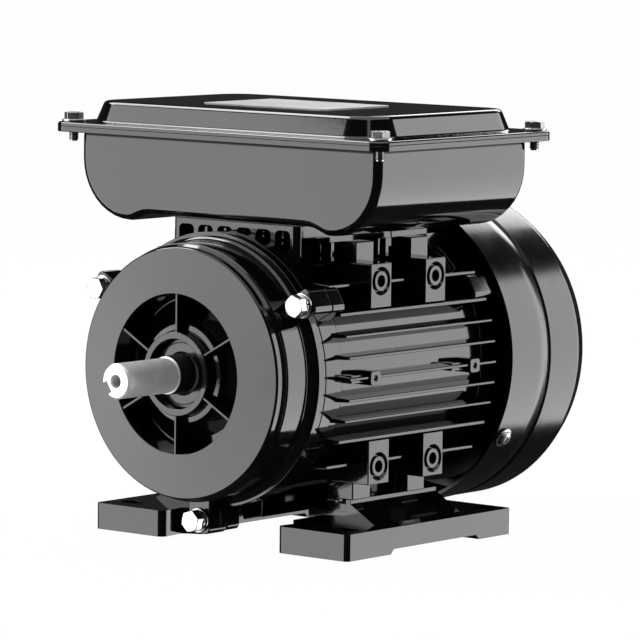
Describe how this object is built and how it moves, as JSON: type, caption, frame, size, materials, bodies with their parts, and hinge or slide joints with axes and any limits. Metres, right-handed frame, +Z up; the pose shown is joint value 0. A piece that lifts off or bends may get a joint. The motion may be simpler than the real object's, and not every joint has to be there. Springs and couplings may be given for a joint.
{
  "type": "single-phase electric motor",
  "caption": "Foot-mounted finned electric motor with a bare shaft end, a round fan cover and a wide terminal box on top that holds two capacitors.",
  "frame": {"origin": "centre of the foot slots, on the plane that the feet stand on", "axes": "+Z up, the bare shaft end points along -Y, +X to the right as seen from the shaft end"},
  "size_m": [0.1708, 0.2303, 0.1753],
  "materials": {
    "paint": "glossy black paint",
    "cover_paint": "glossy black paint",
    "box_plastic": "glossy black",
    "zinc": "bright zinc",
    "lamination": "dull",
    "copper": "varnished",
    "alloy": "cast",
    "shaft_steel": "ground",
    "bearing_steel": "polished",
    "seal_rubber": "matt",
    "switch_plastic": "moulded",
    "fan_plastic": "moulded",
    "block_plastic": "moulded",
    "capacitor_case": "satin",
    "contact_brass": "bright",
    "plate_metal": "satin, bare"
  },
  "bodies": {
    "frame": {"stator_housing": "paint", "front_endshield": "paint", "rear_endshield": "paint", "right_foot": "paint", "left_foot": "paint", "foot_screws": "zinc", "stator_core": "lamination", "main_winding": "copper", "auxiliary_winding": "copper", "front_bearing_outer_ring": "bearing_steel", "rear_bearing_outer_ring": "bearing_steel", "front_shaft_seal": "seal_rubber", "wave_washer": "bearing_steel", "switch_contact_plate": "switch_plastic", "front_bolts": "zinc", "front_bolt_washers": "zinc", "rear_bolts": "zinc", "rear_bolt_washers": "zinc", "fan_cover": "cover_paint", "fan_cover_screws": "zinc", "terminal_box": "box_plastic", "box_seat_gasket": "seal_rubber", "box_screws": "zinc", "box_lid": "box_plastic", "lid_gasket": "seal_rubber", "lid_screws": "zinc", "label_plate": "plate_metal", "start_capacitor": "capacitor_case", "run_capacitor": "capacitor_case", "start_capacitor_clamp": "zinc", "run_capacitor_clamp": "zinc", "terminal_block": "block_plastic", "terminal_studs": "contact_brass", "terminal_nuts": "contact_brass", "terminal_links": "contact_brass", "cable_gland": "switch_plastic", "gland_locknut": "switch_plastic"},
    "rotor": {"shaft": "shaft_steel", "rotor_core": "lamination", "rotor_cage": "alloy", "front_bearing_inner_ring": "bearing_steel", "rear_bearing_inner_ring": "bearing_steel", "switch_carrier": "switch_plastic", "fan": "fan_plastic", "fan_clip": "bearing_steel"},
    "front_balls": {"front_bearing_balls": "bearing_steel"},
    "rear_balls": {"rear_bearing_balls": "bearing_steel"},
    "sleeve": {"switch_sleeve": "switch_plastic"},
    "right_weight": {"switch_weight_right": "zinc"},
    "left_weight": {"switch_weight_left": "zinc"},
    "contact_lever": {"switch_contact_lever": "contact_brass"}
  },
  "joints": [
    {"name": "rotor_spin", "type": "hinge", "parent": "frame", "child": "rotor", "pos_m": [0, 0, 0.071], "axis": [0, -1, 0], "continuous": true},
    {"name": "front_balls_spin", "type": "hinge", "parent": "frame", "child": "front_balls", "pos_m": [0, -0.0665, 0.071], "axis": [0, -1, 0], "continuous": true},
    {"name": "rear_balls_spin", "type": "hinge", "parent": "frame", "child": "rear_balls", "pos_m": [0, 0.0621, 0.071], "axis": [0, -1, 0], "continuous": true},
    {"name": "sleeve_slide", "type": "slide", "parent": "rotor", "child": "sleeve", "axis": [0, -1, 0], "range_m": [0, 0.0015], "stiffness_N_per_m": 600, "springref_m": -0.001},
    {"name": "right_weight_swing", "type": "hinge", "parent": "rotor", "child": "right_weight", "pos_m": [0.019, 0.046, 0.071], "axis": [0, 0, 1], "range_deg": [0, 20]},
    {"name": "left_weight_swing", "type": "hinge", "parent": "rotor", "child": "left_weight", "pos_m": [-0.019, 0.046, 0.071], "axis": [0, 0, -1], "range_deg": [0, 20]},
    {"name": "contact_lever_swing", "type": "hinge", "parent": "frame", "child": "contact_lever", "pos_m": [0, 0.0507, 0.045], "axis": [1, 0, 0], "range_deg": [0, 8]}
  ],
  "couplings": [
    {"joint": "front_balls_spin", "follows": "rotor_spin", "ratio": 0.382},
    {"joint": "rear_balls_spin", "follows": "rotor_spin", "ratio": 0.382},
    {"joint": "right_weight_swing", "follows": "sleeve_slide", "rad_per_m": 222},
    {"joint": "left_weight_swing", "follows": "sleeve_slide", "rad_per_m": 222},
    {"joint": "contact_lever_swing", "follows": "sleeve_slide", "rad_per_m": 82}
  ]
}
